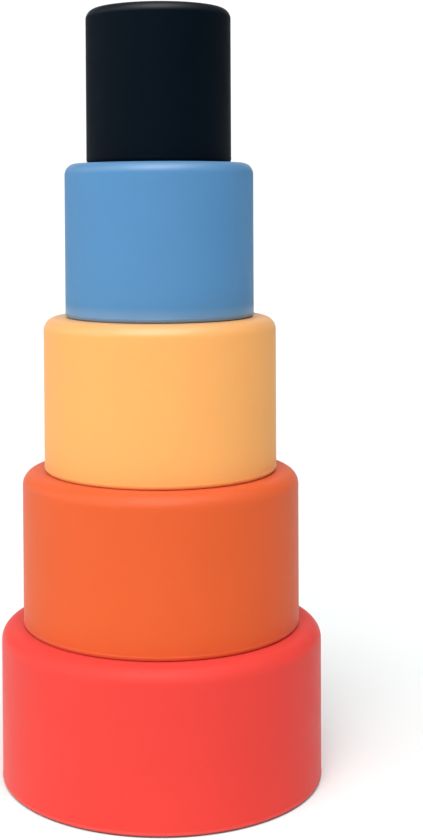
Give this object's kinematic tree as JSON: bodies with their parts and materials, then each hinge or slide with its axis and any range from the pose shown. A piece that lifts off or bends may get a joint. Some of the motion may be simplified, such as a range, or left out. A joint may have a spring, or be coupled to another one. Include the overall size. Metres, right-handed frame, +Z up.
{
  "type": "stacking cup tower",
  "caption": "Tower of plain round stacking cups in soft silicone, upside down on one another from the biggest to the smallest, each in its own colour.",
  "frame": {"origin": "centre of the bottom cup's open rim, on the surface that the tower stands on", "axes": "+Z up the tower's axis, from the biggest cup to the smallest. Every cup is round, so +X and +Y are free."},
  "size_m": [0.1002, 0.1002, 0.2391],
  "materials": {
    "red_silicone": "matte",
    "orange_silicone": "matte",
    "yellow_silicone": "matte",
    "blue_silicone": "matte",
    "navy_silicone": "matte"
  },
  "bodies": {
    "red_cup": {"red_cup": "red_silicone"},
    "orange_cup": {"orange_cup": "orange_silicone"},
    "yellow_cup": {"yellow_cup": "yellow_silicone"},
    "blue_cup": {"blue_cup": "blue_silicone"},
    "navy_cup": {"navy_cup": "navy_silicone"}
  },
  "joints": [
    {"name": "lift_orange_cup", "type": "slide", "parent": "red_cup", "child": "orange_cup", "axis": [0, 0, 1], "range_m": [0, 0.06]},
    {"name": "lift_yellow_cup", "type": "slide", "parent": "orange_cup", "child": "yellow_cup", "axis": [0, 0, 1], "range_m": [0, 0.06]},
    {"name": "lift_blue_cup", "type": "slide", "parent": "yellow_cup", "child": "blue_cup", "axis": [0, 0, 1], "range_m": [0, 0.06]},
    {"name": "lift_navy_cup", "type": "slide", "parent": "blue_cup", "child": "navy_cup", "axis": [0, 0, 1], "range_m": [0, 0.06]}
  ]
}
